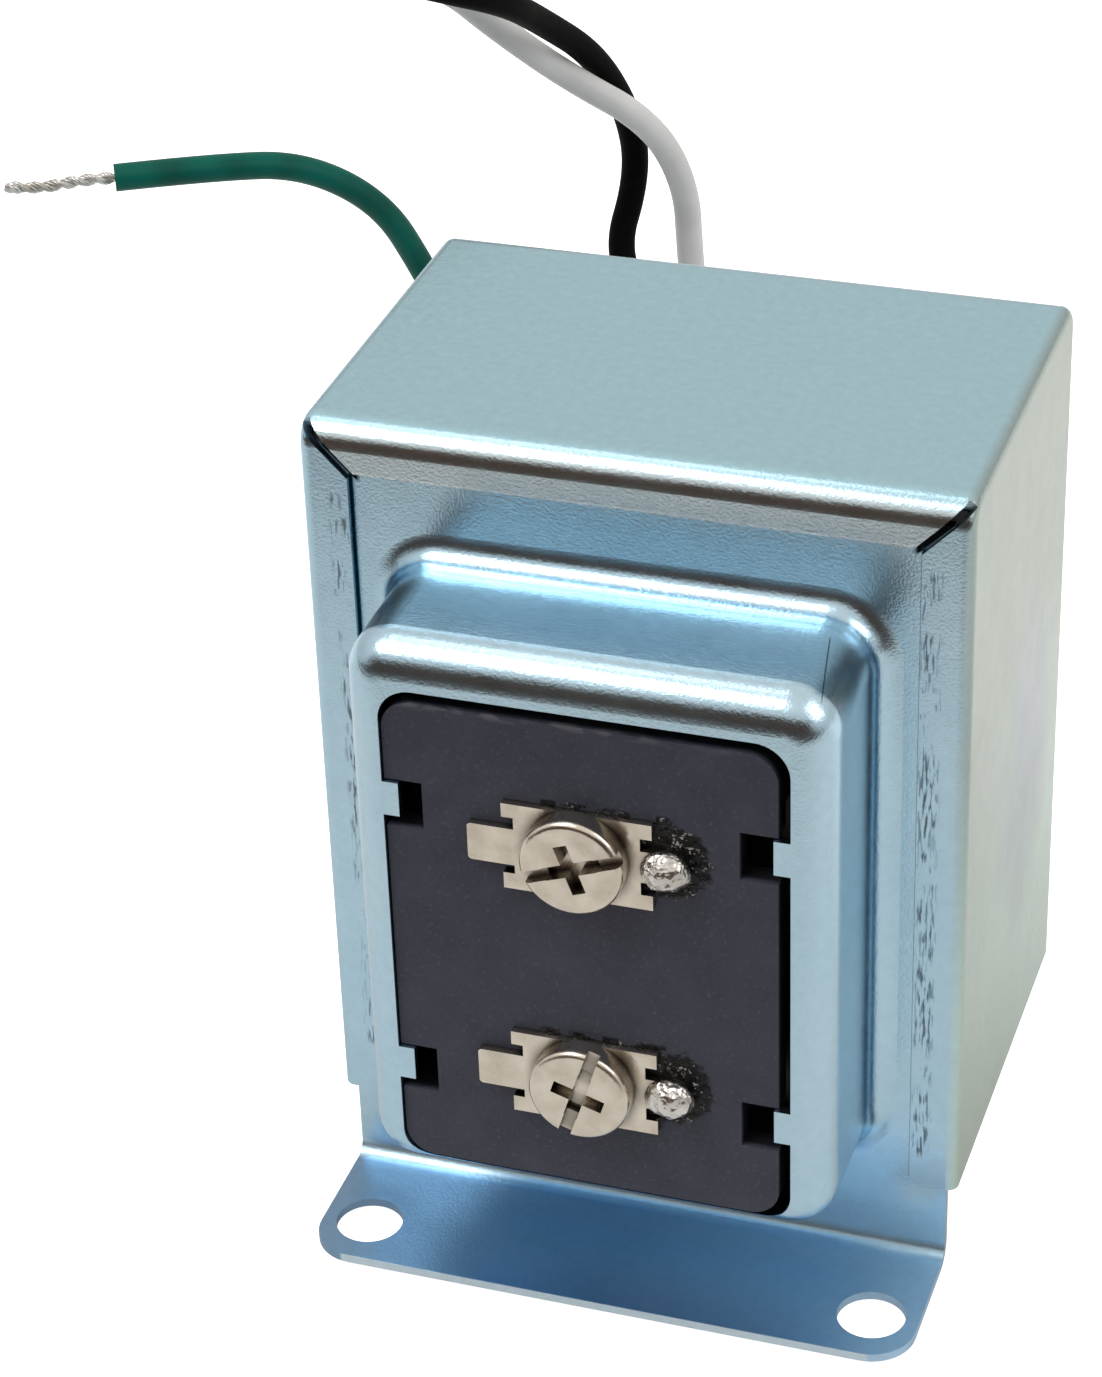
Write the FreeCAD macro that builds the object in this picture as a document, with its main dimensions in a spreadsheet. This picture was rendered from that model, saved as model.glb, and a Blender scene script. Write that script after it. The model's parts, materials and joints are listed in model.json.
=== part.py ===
"""Doorbell transformer: a foot-mounted chime transformer in a folded sheet-steel case.

Millimetres. +X is to the right seen from the terminals, +Y runs to the back and +Z is up.
The origin is midway between the two foot holes, on the underside of the foot.
"""

import FreeCAD, Part
import math
import os

import Sketcher

V = FreeCAD.Vector
doc = FreeCAD.newDocument("DoorbellTransformer")

# Driving dimensions
DRIVING = {
    # folded shroud
    "sheet_gauge": 0.8,
    "side_clearance": 0.05,
    "crown_clearance": 0.25,
    "wrap_bottom": 8.7,
    "flange_side": 4.2,
    "flange_top": 4.4,
    "top_bend": 2.4,
    "side_bend": 1.0,
    "mitre_gap": 0.8,
    "mitre_depth": 1.3,
    # covers and foot
    "cover_shy": 0.2,
    "foot_setback": 8.7,
    "foot_lip": 5.1,
    "foot_corner": 4.0,
    "foot_bend": 1.3,
    "foot_hole": 6.0,
    "foot_hole_inset": 4.2,
    # core of 66 by 55 laminations
    "core_bottom": 9.4,
    "window_height": 11.0,
    "window_length": 33.0,
    "core_limb": 11.0,
    "core_stack": 34.9,
    "core_hole": 3.2,
    "hole_inset": 2.75,
    # drawn domes
    "dome_side_band": 7.0,
    "dome_lower_band": 2.6,
    "dome_upper_band": 10.6,
    "rib_depth": 2.0,
    "rear_play": 0.7,
    "dome_corner": 4.0,
    "dome_nose": 3.3,
    "dome_root": 2.2,
    # opening in the front dome
    "opening_side_rim": 3.3,
    "opening_lower_rim": 1.2,
    "opening_upper_rim": 4.1,
    "opening_corner": 3.0,
    "tab_reach": 1.4,
    "tab_height": 3.2,
    # moulded terminal board
    "board_side_play": 0.6,
    "board_lower_play": 0.4,
    "board_upper_play": 1.3,
    "board_offset": 0.5,
    "board_corner": 2.6,
    "board_recess": 0.4,
    "board_thickness": 2.2,
    "notch_depth": 3.2,
    "notch_height": 4.5,
    "notch_pitch": 26.8,
    "fittings_drop": 0.3,
    "screw_clearance_hole": 5.0,
    "wire_hole": 1.6,
    # terminals and binding screws
    "terminal_pitch": 22.8,
    "plate_width": 12.7,
    "plate_height": 8.2,
    "plate_thickness": 0.8,
    "tab_length": 3.0,
    "lug_position": 7.45,
    "lug_hole": 1.1,
    "screw_head": 8.8,
    "head_height": 2.0,
    "head_rounding": 0.55,
    "screw_shank": 4.0,
    "screw_length": 3.9,
    "tapped_hole": 4.1,
    "slot_width": 1.1,
    "slot_depth": 0.9,
    "cross_span": 4.6,
    "cross_width": 1.2,
    "cross_depth": 1.4,
    "upper_slot_angle": 20.0,
    "lower_slot_angle": 72.0,
    "solder_width": 4.2,
    "solder_height": 3.6,
    "solder_bulge": 1.5,
    # bobbin and coils
    "bobbin_gap": 0.1,
    "bobbin_wall": 1.1,
    "bobbin_play": 0.5,
    "bobbin_overhang": 10.6,
    "bobbin_shy": 1.4,
    "bobbin_corner": 2.5,
    "winding_shy": 0.9,
    "winding_corner": 4.0,
    "tape_thickness": 0.3,
    "magnet_wire": 1.0,
    "magnet_wire_step": 3.6,
    "cutoff_length": 10.0,
    "cutoff_width": 5.0,
    "cutoff_thickness": 2.4,
    "cutoff_play": 0.3,
    # hub and bush
    "hub_diameter": 21.3,
    "hub_play": 0.1,
    "hub_wall": 1.9,
    "hub_length": 9.5,
    "hub_rim": 1.35,
    "hub_flange_thickness": 0.9,
    "locknut_rim": 3.35,
    "locknut_thickness": 3.0,
    "bush_play": 0.1,
    "bush_rim": 1.15,
    "bush_lip_thickness": 1.2,
    # insulated leads
    "lead_diameter": 2.8,
    "lead_hole": 3.0,
    "lead_side": 4.4,
    "lead_rise": 3.1,
    "green_side": 4.2,
    "strand_diameter": 1.4,
    "strand_length": 11.0,
    "sleeve_diameter": 3.6,
    "sleeve_length": 10.0,
    "upper_splice_rise": 11.6,
    "lower_splice_drop": 6.4,
    "lead_straight": 10.1,
    # rear fasteners and earthing
    "rear_hole": 3.4,
    "rear_head": 5.6,
    "rear_head_height": 2.0,
    "rear_shank": 3.1,
    "rear_screw_length": 8.0,
    "ring_diameter": 6.4,
    "ring_bore": 3.3,
    "ring_thickness": 0.8,
    "ring_inset": 7.2,
    "neck_width": 3.4,
    "barrel_drop": 7.4,
    "barrel_length": 4.4,
    "barrel_diameter": 4.0,
    "rivet_shank": 3.2,
    "rivet_inner_head": 5.2,
    "rivet_inner_height": 1.2,
    "rivet_outer_head": 5.6,
    "rivet_outer_height": 1.0,
}

# Planes and sizes that follow from them
DERIVED = {
    "flange_face": "foot_setback",
    "cover_face": "flange_face + sheet_gauge",
    "core_front": "cover_face + sheet_gauge",
    "core_back": "core_front + core_stack",
    "core_width": "window_length + 2 * core_limb",
    "core_height": "2 * window_height + 4 * core_limb",
    "rear_cover_face": "core_back + sheet_gauge",
    "rear_flange_face": "rear_cover_face + sheet_gauge",
    "wrap_depth": "rear_flange_face - flange_face",
    "core_top": "core_bottom + core_height",
    "core_middle": "core_bottom + core_height / 2",
    "coil_middle": "core_front + core_stack / 2",
    "wrap_top": "core_top + crown_clearance + sheet_gauge",
    "wrap_width": "core_width + 2 * side_clearance + 2 * sheet_gauge",
    "wrap_height": "wrap_top - wrap_bottom",
    "cover_width": "core_width - 2 * cover_shy",
    "foot_hole_pitch": "cover_width - 2 * foot_hole_inset",
    "cover_top": "wrap_top - top_bend - 0.05",
    "yoke_hole_side": "core_width / 2 - hole_inset",
    "lower_hole_height": "core_bottom + hole_inset",
    "upper_hole_height": "core_top - hole_inset",
    "dome_width": "core_width - 2 * dome_side_band",
    "dome_height": "core_height - dome_lower_band - dome_upper_band",
    "dome_bottom": "core_bottom + dome_lower_band",
    "dome_middle": "dome_bottom + dome_height / 2",
    "opening_width": "dome_width - 2 * opening_side_rim",
    "opening_height": "dome_height - opening_lower_rim - opening_upper_rim",
    "opening_bottom": "dome_bottom + opening_lower_rim",
    "board_width": "opening_width - 2 * board_side_play",
    "board_height": "opening_height - board_lower_play - board_upper_play",
    "board_bottom": "opening_bottom + board_lower_play",
    "fittings_height": "board_bottom + board_height / 2 - fittings_drop",
    "cavity_width": "dome_width - 2 * sheet_gauge",
    "cavity_height": "dome_height - 2 * sheet_gauge",
    "cavity_corner": "dome_corner - sheet_gauge",
    "cavity_nose": "dome_nose - sheet_gauge",
    "cavity_mouth": "dome_root + sheet_gauge",
    "upper_terminal_height": "fittings_height + terminal_pitch / 2",
    "lower_terminal_height": "fittings_height - terminal_pitch / 2",
    "lug_side": "lug_position - board_offset",
    "bobbin_length": "core_width - 2 * core_limb - bobbin_play",
    "bobbin_depth": "core_stack + 2 * bobbin_overhang",
    "bobbin_height": "core_height - 2 * core_limb - bobbin_shy",
    "bobbin_front": "coil_middle - bobbin_depth / 2",
    "board_back": "bobbin_front - rib_depth",
    "board_face": "board_back - board_thickness",
    "plate_face": "board_face - plate_thickness",
    "dome_face": "board_face - board_recess",
    "dome_depth": "cover_face - dome_face",
    "tube_depth": "core_stack + 2 * bobbin_gap",
    "tube_height": "2 * core_limb + 2 * bobbin_gap",
    "tube_outer_depth": "tube_depth + 2 * bobbin_wall",
    "tube_outer_height": "tube_height + 2 * bobbin_wall",
    "winding_depth": "bobbin_depth - 2 * winding_shy",
    "winding_height": "bobbin_height - 2 * winding_shy",
    "winding_length": "bobbin_length / 2 - bobbin_wall * 1.5",
    "tape_depth": "winding_depth + 2 * tape_thickness",
    "tape_height": "winding_height + 2 * tape_thickness",
    "cutoff_side": "bobbin_length / 2 - bobbin_wall - cutoff_play - cutoff_width / 2",
    "tape_corner": "winding_corner + tape_thickness",
    "tape_front": "coil_middle - tape_depth / 2",
    "tape_back": "coil_middle + tape_depth / 2",
    "rear_dome_inside": "tape_back + sleeve_diameter + rear_play + hub_flange_thickness",
    "rear_dome_face": "rear_dome_inside + sheet_gauge",
    "rear_dome_depth": "rear_dome_face - rear_cover_face",
    "hub_hole": "hub_diameter + hub_play",
    "hub_bore": "hub_diameter - 2 * hub_wall",
    "hub_flange": "hub_diameter + 2 * hub_rim",
    "bush_diameter": "hub_bore - bush_play",
    "bush_lip": "hub_bore + 2 * bush_rim",
    "locknut_width": "hub_diameter + 2 * locknut_rim",
    "hub_end": "rear_dome_face + hub_length",
    "hub_start": "rear_dome_inside - hub_flange_thickness",
    "hub_reach": "hub_end - hub_start",
    "bush_face": "hub_end + bush_lip_thickness",
    "ring_face": "rear_dome_inside - ring_thickness",
    "ring_height": "dome_bottom + dome_height - ring_inset",
    "barrel_bottom": "ring_height - barrel_drop",
}

NAMES = {**DRIVING, **DERIVED}
sheet = doc.addObject("Spreadsheet::Sheet", "Sizes")
for row, (alias, number) in enumerate(NAMES.items(), start=1):
    sheet.set(f"A{row}", alias)
    sheet.set(f"B{row}", f"={number}" if isinstance(number, str) else str(number))
    sheet.setAlias(f"B{row}", alias)
doc.recompute()


def value(formula):
    """The value of a formula of aliases and numbers joined by + - * and /."""
    total = 0.0
    term = 1.0
    sign = 1.0
    divide = False
    for word in formula.split():
        if word in ("+", "-"):
            total += sign * term
            sign = 1.0 if word == "+" else -1.0
            term = 1.0
        elif word in ("*", "/"):
            divide = word == "/"
        else:
            number = float(sheet.get(word)) if word in NAMES else float(word)
            term = term / number if divide else term * number
            divide = False
    return total + sign * term


def bound(formula):
    """The same formula as an expression on the sheet."""
    return " ".join(f"Sizes.{word}" if word in NAMES else word for word in formula.split())


def minus(formula):
    return f"0 - {formula.translate(str.maketrans('+-', '-+'))}"


# Helpers for bodies made from sketches


def new_body(label):
    body = doc.addObject("PartDesign::Body", label)
    body.Label = label
    return body


def new_sketch(body, plane, out, across="0", up="0"):
    """A sketch parallel to an origin plane, its own origin moved to (across, up).

    On XZ the sketch's normal points to -Y, so the offset along it is turned round.
    """
    support = next(f for f in body.Origin.OriginFeatures if f.Role == f"{plane}_Plane")
    sketch = body.newObject("Sketcher::SketchObject", "outline")
    sketch.AttachmentSupport = (support, "")
    sketch.MapMode = "FlatFace"
    along = minus(out) if plane == "XZ" else out
    sketch.setExpression("AttachmentOffset.Base.x", bound(across))
    sketch.setExpression("AttachmentOffset.Base.y", bound(up))
    sketch.setExpression("AttachmentOffset.Base.z", bound(along))
    return sketch


def pin(sketch, first, first_point, second, second_point, x_formula, y_formula):
    """Holds one point of a sketch from another by two bound distances."""
    for axis, formula in (("DistanceX", x_formula), ("DistanceY", y_formula)):
        ends = (first, first_point, second, second_point, value(formula))
        index = sketch.addConstraint(Sketcher.Constraint(axis, *ends))
        sketch.setExpression(f"Constraints[{index}]", bound(formula))


def draw_polygon(sketch, corners):
    """A closed outline through corners given as pairs of formulas."""
    points = [V(value(x), value(y), 0) for x, y in corners]
    count = len(points)
    first = len(sketch.Geometry)
    for i in range(count):
        sketch.addGeometry(Part.LineSegment(points[i], points[(i + 1) % count]), False)
    for i in range(count):
        ends = (first + i, 2, first + (i + 1) % count, 1)
        sketch.addConstraint(Sketcher.Constraint("Coincident", *ends))
    for i, (x, y) in enumerate(corners):
        pin(sketch, -1, 1, first + i, 1, x, y)


def draw_box(sketch, x_low, x_high, y_low, y_high):
    draw_polygon(sketch, [(x_low, y_low), (x_high, y_low), (x_high, y_high), (x_low, y_high)])


def draw_rounded(sketch, width, height, corner):
    """A rectangle with rounded corners, centred on the sketch's origin."""
    w = value(width) / 2
    h = value(height) / 2
    r = value(corner)
    first = len(sketch.Geometry)
    starts = [V(r - w, -h, 0), V(w, r - h, 0), V(w - r, h, 0), V(-w, h - r, 0)]
    ends = [V(w - r, -h, 0), V(w, h - r, 0), V(r - w, h, 0), V(-w, r - h, 0)]
    centres = [V(w - r, r - h, 0), V(w - r, h - r, 0), V(r - w, h - r, 0), V(r - w, r - h, 0)]
    for i in range(4):
        sketch.addGeometry(Part.LineSegment(starts[i], ends[i]), False)
        circle = Part.Circle(centres[i], V(0, 0, 1), r)
        turn = (i - 1) * math.pi / 2
        sketch.addGeometry(Part.ArcOfCircle(circle, turn, turn + math.pi / 2), False)
    sides = [first + 2 * i for i in range(4)]
    arcs = [first + 2 * i + 1 for i in range(4)]
    for i in range(4):
        sketch.addConstraint(Sketcher.Constraint("Tangent", sides[i], 2, arcs[i], 1))
        sketch.addConstraint(Sketcher.Constraint("Tangent", arcs[i], 2, sides[(i + 1) % 4], 1))
        level = "Horizontal" if i % 2 == 0 else "Vertical"
        sketch.addConstraint(Sketcher.Constraint(level, sides[i]))
        if i:
            sketch.addConstraint(Sketcher.Constraint("Equal", arcs[0], arcs[i]))
    sketch.addConstraint(Sketcher.Constraint("Symmetric", sides[0], 1, sides[2], 1, -1, 1))
    for kind, one, two, formula in (
        ("Radius", arcs[0], None, corner),
        ("DistanceX", sides[3], sides[1], width),
        ("DistanceY", sides[0], sides[2], height),
    ):
        ends = (one,) if two is None else (one, 1, two, 1)
        index = sketch.addConstraint(Sketcher.Constraint(kind, *ends, value(formula)))
        sketch.setExpression(f"Constraints[{index}]", bound(formula))


def draw_circle(sketch, x, y, diameter):
    centre = V(value(x), value(y), 0)
    circle = sketch.addGeometry(Part.Circle(centre, V(0, 0, 1), value(diameter) / 2), False)
    pin(sketch, -1, 1, circle, 3, x, y)
    index = sketch.addConstraint(Sketcher.Constraint("Diameter", circle, value(diameter)))
    sketch.setExpression(f"Constraints[{index}]", bound(diameter))


def feature(body, kind, sketch, length, reverse):
    """Adds a pad or a pocket, and stops if it leaves the volume as it was."""
    before = body.Shape.Volume if body.Tip else 0.0
    item = body.newObject(f"PartDesign::{kind}", kind.lower())
    item.Profile = sketch
    item.setExpression("Length", bound(length))
    item.Reversed = reverse
    body.Tip = item
    doc.recompute()
    change = body.Shape.Volume - before
    wanted = 1 if kind == "Pad" else -1
    if change * wanted < 1e-3:
        raise RuntimeError(f"{body.Label}: {kind} of {length} changes the volume by {change}")
    return item


def pad(body, sketch, length, toward_plus=True):
    """Pads along +axis or -axis of the part."""
    flips = "XZ" in sketch.AttachmentSupport[0][0].Role
    return feature(body, "Pad", sketch, length, toward_plus == flips)


def cut(body, sketch, length, toward_plus=True):
    """Pockets along +axis or -axis of the part."""
    flips = "XZ" in sketch.AttachmentSupport[0][0].Role
    return feature(body, "Pocket", sketch, length, toward_plus != flips)


def dress(body, kind, amount, pick):
    """Rounds or bevels the edges whose bounding box is picked."""
    base = body.Tip
    edges = base.Shape.Edges
    names = [f"Edge{i}" for i, edge in enumerate(edges, start=1) if pick(edge.BoundBox)]
    if not names:
        raise RuntimeError(f"{body.Label}: no edge for a {kind} of {amount}")
    item = body.newObject(f"PartDesign::{kind}", kind.lower())
    item.Base = (base, names)
    item.setExpression("Radius" if kind == "Fillet" else "Size", bound(amount))
    body.Tip = item
    doc.recompute()
    if not item.Shape.isValid() or item.Shape.isNull():
        raise RuntimeError(f"{body.Label}: {kind} of {amount} fails")


def in_plane(low, high, place):
    return abs(low - place) < 0.01 and abs(high - place) < 0.01


# Folded shroud: one strip over the core, with its edges turned in at the front and back

shroud = new_body("shroud")
outline = new_sketch(shroud, "XZ", "flange_face", up="wrap_bottom + wrap_height / 2")
half_width = "wrap_width / 2"
half_height = "wrap_height / 2"
draw_box(outline, minus(half_width), half_width, minus(half_height), half_height)
pad(shroud, outline, "wrap_depth")
wrap_top = value("wrap_top")
dress(
    shroud,
    "Fillet",
    "top_bend",
    lambda b: in_plane(b.ZMin, b.ZMax, wrap_top) and b.XLength > value("core_width") / 2,
)
side_face = value(half_width)
dress(
    shroud,
    "Fillet",
    "side_bend",
    lambda b: in_plane(abs(b.XMin), abs(b.XMax), side_face) and b.ZMax > value("wrap_bottom") + 1,
)
faces = shroud.Tip.Shape.Faces
open_end = min(range(len(faces)), key=lambda i: faces[i].BoundBox.ZMax)
solid_shroud = shroud.Tip
shell = shroud.newObject("PartDesign::Thickness", "shell")
shell.Base = (solid_shroud, [f"Face{open_end + 1}"])
shell.setExpression("Value", bound("sheet_gauge"))
shell.Reversed = True
shell.Mode = "Skin"
shell.Join = "Intersection"
shroud.Tip = shell
doc.recompute()

window = new_sketch(shroud, "XZ", "flange_face - 1")
window_side = "wrap_width / 2 - flange_side"
draw_box(window, minus(window_side), window_side, "wrap_bottom - 1", "wrap_top - flange_top")
cut(shroud, window, "wrap_depth + 2")

# A diagonal slot parts the flanges at each top corner, through the front and back bends
for side in (1, -1):
    for out in ("flange_face - 1", "rear_flange_face - mitre_depth"):
        mitre = new_sketch(shroud, "XZ", out)
        inner_x = "wrap_width / 2 - flange_side - 1"
        outer_x = "wrap_width / 2 + 1"
        inner_z = "wrap_top - flange_top - 1"
        outer_z = "wrap_top + 1"
        corners = [
            (f"{inner_x} - mitre_gap * 0.7", inner_z),
            (f"{inner_x} + mitre_gap * 0.7", inner_z),
            (f"{outer_x} + mitre_gap * 0.7", outer_z),
            (f"{outer_x} - mitre_gap * 0.7", outer_z),
        ]
        if side < 0:
            corners = [(minus(x), z) for x, z in corners]
        draw_polygon(mitre, corners)
        cut(shroud, mitre, "mitre_depth + 1")

notch = new_sketch(shroud, "XZ", "rear_cover_face - 0.1")
for side in ("yoke_hole_side", minus("yoke_hole_side")):
    draw_circle(notch, side, "lower_hole_height", "rear_hole")
cut(shroud, notch, "sheet_gauge + 0.2")


# Drawn domes, shared by the two covers


def add_dome(body, face, back, depth, toward_plus):
    """Draws a dome out of a plate, from its outer face and its back, with one wall thickness.

    The inside is rounded before the outside, because a sharp inside would break through.
    """
    outline = new_sketch(body, "XZ", face, up="dome_middle")
    draw_rounded(outline, "dome_width", "dome_height", "dome_corner")
    pad(body, outline, depth, toward_plus)
    cavity = new_sketch(body, "XZ", back, up="dome_middle")
    draw_rounded(cavity, "cavity_width", "cavity_height", "cavity_corner")
    cut(body, cavity, depth, toward_plus)
    way = 1 if toward_plus else -1
    reach = value("dome_width") / 2 + 0.1
    rounds = (
        ("cavity_nose", value(back) + way * value(depth)),
        ("dome_nose", value(face) + way * value(depth)),
        ("dome_root", value(face)),
        ("cavity_mouth", value(back)),
    )
    for radius, place in rounds:
        dress(
            body,
            "Fillet",
            radius,
            lambda b: in_plane(b.YMin, b.YMax, place) and b.XMax < reach and b.XMin > -reach,
        )


# Front cover: plate, bend and foot in one piece, with the dome that holds the board

front_cover = new_body("front_cover")
profile = new_sketch(front_cover, "YZ", "0 - cover_width / 2")
draw_polygon(
    profile,
    [
        ("0 - foot_lip", "0"),
        ("core_front", "0"),
        ("core_front", "cover_top"),
        ("cover_face", "cover_top"),
        ("cover_face", "sheet_gauge"),
        ("0 - foot_lip", "sheet_gauge"),
    ],
)
pad(front_cover, profile, "cover_width")
core_front = value("core_front")
cover_face = value("cover_face")
dress(
    front_cover,
    "Fillet",
    "foot_bend + sheet_gauge",
    lambda b: in_plane(b.ZMin, b.ZMax, 0) and in_plane(b.YMin, b.YMax, core_front),
)
gauge = value("sheet_gauge")
dress(
    front_cover,
    "Fillet",
    "foot_bend",
    lambda b: in_plane(b.ZMin, b.ZMax, gauge) and in_plane(b.YMin, b.YMax, cover_face),
)
foot_front = -value("foot_lip")
dress(
    front_cover,
    "Fillet",
    "foot_corner",
    lambda b: in_plane(b.YMin, b.YMax, foot_front) and b.XLength < 0.01,
)
add_dome(front_cover, "cover_face", "core_front", "dome_depth", False)

opening = new_sketch(front_cover, "XZ", "dome_face - 0.5", up="opening_bottom + opening_height / 2")
draw_rounded(opening, "opening_width", "opening_height", "opening_corner")
cut(front_cover, opening, "3.8")

tabs = new_sketch(front_cover, "XZ", "dome_face")
tab_tip = "opening_width / 2 - tab_reach"
tab_root = "opening_width / 2 + 0.1"
for end in ("+", "-"):
    top = f"fittings_height {end} notch_pitch / 2 + notch_height / 2 - 0.1"
    draw_box(tabs, tab_tip, tab_root, f"{top} - tab_height", top)
    draw_box(tabs, minus(tab_root), minus(tab_tip), f"{top} - tab_height", top)
pad(front_cover, tabs, "sheet_gauge")

foot_holes = new_sketch(front_cover, "XY", "0 - 0.5")
for side in ("foot_hole_pitch / 2", "0 - foot_hole_pitch / 2"):
    draw_circle(foot_holes, side, "0", "foot_hole")
cut(front_cover, foot_holes, "sheet_gauge + 1")

# Back cover

back_cover = new_body("back_cover")
plate = new_sketch(back_cover, "XZ", "core_back")
cover_side = "cover_width / 2"
draw_box(plate, minus(cover_side), cover_side, "core_bottom", "cover_top")
pad(back_cover, plate, "sheet_gauge")
add_dome(back_cover, "rear_cover_face", "core_back", "rear_dome_depth", True)
holes = new_sketch(back_cover, "XZ", "core_back - 1")
draw_circle(holes, "0", "dome_middle", "hub_hole")
draw_circle(holes, "green_side", "ring_height", "ring_bore")
for side in ("yoke_hole_side", minus("yoke_hole_side")):
    draw_circle(holes, side, "lower_hole_height", "rear_hole")
cut(back_cover, holes, "rear_dome_depth + 4")

# Core: the E stack takes the coil, and the I stack closes it

e_stack = new_body("e_lamination_stack")
outline = new_sketch(e_stack, "XZ", "core_front", up="core_bottom")
yoke_back = "0 - core_width / 2"
yoke_front = "0 - core_width / 2 + core_limb"
limb_end = "core_width / 2 - core_limb"
draw_polygon(
    outline,
    [
        (yoke_back, "0"),
        (limb_end, "0"),
        (limb_end, "core_limb"),
        (yoke_front, "core_limb"),
        (yoke_front, "core_height / 2 - core_limb"),
        (limb_end, "core_height / 2 - core_limb"),
        (limb_end, "core_height / 2 + core_limb"),
        (yoke_front, "core_height / 2 + core_limb"),
        (yoke_front, "core_height - core_limb"),
        (limb_end, "core_height - core_limb"),
        (limb_end, "core_height"),
        (yoke_back, "core_height"),
    ],
)
pad(e_stack, outline, "core_stack")
i_stack = new_body("i_lamination_stack")
outline = new_sketch(i_stack, "XZ", "core_front", up="core_bottom")
draw_box(outline, limb_end, "core_width / 2", "0", "core_height")
pad(i_stack, outline, "core_stack")
for stack, side in ((e_stack, minus("yoke_hole_side")), (i_stack, "yoke_hole_side")):
    holes = new_sketch(stack, "XZ", "core_front - 1")
    for height in ("lower_hole_height", "upper_hole_height"):
        draw_circle(holes, side, height, "core_hole")
    cut(stack, holes, "core_stack + 2")

# Bobbin with a chamber for each winding

bobbin = new_body("bobbin")
bobbin_left = "0 - bobbin_length / 2"
outline = new_sketch(bobbin, "YZ", bobbin_left, "coil_middle", "core_middle")
half_depth = "tube_outer_depth / 2"
half_tall = "tube_outer_height / 2"
draw_box(outline, minus(half_depth), half_depth, minus(half_tall), half_tall)
pad(bobbin, outline, "bobbin_length")
for place in (bobbin_left, "0 - bobbin_wall / 2", "bobbin_length / 2 - bobbin_wall"):
    flange = new_sketch(bobbin, "YZ", place, "coil_middle", "core_middle")
    draw_rounded(flange, "bobbin_depth", "bobbin_height", "bobbin_corner")
    pad(bobbin, flange, "bobbin_wall")
bore = new_sketch(bobbin, "YZ", f"{bobbin_left} - 1", "coil_middle", "core_middle")
half_depth = "tube_depth / 2"
half_tall = "tube_height / 2"
draw_box(bore, minus(half_depth), half_depth, minus(half_tall), half_tall)
cut(bobbin, bore, "bobbin_length + 2")


# Windings, each under its own tape


def ring_body(label, start, depth, height, corner, inner):
    """A ring round the bobbin's tube, from its outline to an inner depth and height."""
    body = new_body(label)
    outline = new_sketch(body, "YZ", start, "coil_middle", "core_middle")
    draw_rounded(outline, depth, height, corner)
    pad(body, outline, "winding_length")
    hole = new_sketch(body, "YZ", f"{start} - 1", "coil_middle", "core_middle")
    if len(inner) == 3:
        draw_rounded(hole, *inner)
    else:
        y, z = (f"{name} / 2" for name in inner)
        draw_box(hole, minus(y), y, minus(z), z)
    cut(body, hole, "winding_length + 2")
    return body


PRIMARY_START = "0 - bobbin_length / 2 + bobbin_wall"
SECONDARY_START = "bobbin_wall / 2"
TUBE = ("tube_outer_depth", "tube_outer_height")
WINDING = ("winding_depth", "winding_height", "winding_corner")
TAPE = ("tape_depth", "tape_height", "tape_corner")
rings = [
    ring_body("primary_winding", PRIMARY_START, *WINDING, TUBE),
    ring_body("secondary_winding", SECONDARY_START, *WINDING, TUBE),
    ring_body("primary_tape", PRIMARY_START, *TAPE, WINDING),
    ring_body("secondary_tape", SECONDARY_START, *TAPE, WINDING),
]

# Thermal cut-off, laid on the back of the primary's tape

thermal_cutoff = new_body("thermal_cutoff")
outline = new_sketch(thermal_cutoff, "XZ", "tape_back", "0 - cutoff_side", "core_middle")
draw_rounded(outline, "cutoff_width", "cutoff_length", "0.6")
pad(thermal_cutoff, outline, "cutoff_thickness")

# Terminal board: moulded plate, edge notches for the dome's tabs, ribs that bear on the bobbin

terminal_board = new_body("terminal_board")
board_x = "0 - board_offset"
outline = new_sketch(terminal_board, "XZ", "board_face", board_x, "board_bottom + board_height / 2")
draw_rounded(outline, "board_width", "board_height", "board_corner")
pad(terminal_board, outline, "board_thickness")
notches = new_sketch(terminal_board, "XZ", "board_face - 1", board_x)
notch_floor = "board_width / 2 - notch_depth"
notch_mouth = "board_width / 2 + 1"
for end in ("+", "-"):
    middle = f"fittings_height {end} notch_pitch / 2"
    low = f"{middle} - notch_height / 2"
    high = f"{middle} + notch_height / 2"
    draw_box(notches, notch_floor, notch_mouth, low, high)
    draw_box(notches, minus(notch_mouth), minus(notch_floor), low, high)
cut(terminal_board, notches, "board_thickness + 2")
holes = new_sketch(terminal_board, "XZ", "board_face - 1")
for height in ("upper_terminal_height", "lower_terminal_height"):
    draw_circle(holes, board_x, height, "screw_clearance_hole")
    draw_circle(holes, "lug_side", height, "wire_hole")
cut(terminal_board, holes, "board_thickness + 2")
ribs = new_sketch(terminal_board, "XZ", "board_back")
rib_left = ("0 - bobbin_length / 2", "0 - bobbin_length / 2 + bobbin_wall")
rib_right = ("bobbin_length / 2 - bobbin_wall", "board_width / 2 - board_offset")
for sides in (rib_left, rib_right):
    draw_box(ribs, *sides, "fittings_height - 6", "fittings_height + 6")
    draw_box(ribs, *sides, "fittings_height + 17.8", "fittings_height + 21")
pad(terminal_board, ribs, "bobbin_front - board_back")


# Terminals, their binding screws and the solder on their lugs


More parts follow.
